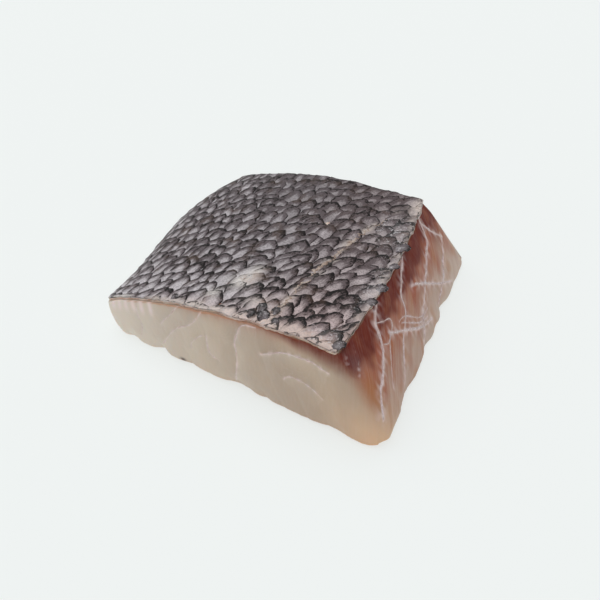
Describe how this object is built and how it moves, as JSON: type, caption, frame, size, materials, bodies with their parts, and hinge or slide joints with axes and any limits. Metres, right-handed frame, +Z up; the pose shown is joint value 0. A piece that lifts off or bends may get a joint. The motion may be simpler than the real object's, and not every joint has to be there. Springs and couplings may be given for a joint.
{
  "type": "raw skin-on white fish fillet portion",
  "caption": "Thick raw portion of a skin-on white sea-fish fillet, scaly skin side up, showing layered muscle at its cut faces.",
  "frame": {"origin": "under the middle of the portion, on the surface that it lies on", "axes": "+Z up through the skin, +Y along the fish's body from the front crosswise cut to the back one, +X from the thin edge to the thick side with the red muscle"},
  "size_m": [0.1273, 0.1266, 0.0356],
  "materials": {
    "scaly_skin": "moist lilac-grey scales with dark brown free edges",
    "red_flesh": "moist dark red muscle with white membranes",
    "white_flesh": "moist translucent cream muscle in flakes"
  },
  "bodies": {
    "root": {"skin": "scaly_skin", "red_muscle": "red_flesh", "white_muscle": "white_flesh"}
  },
  "joints": []
}
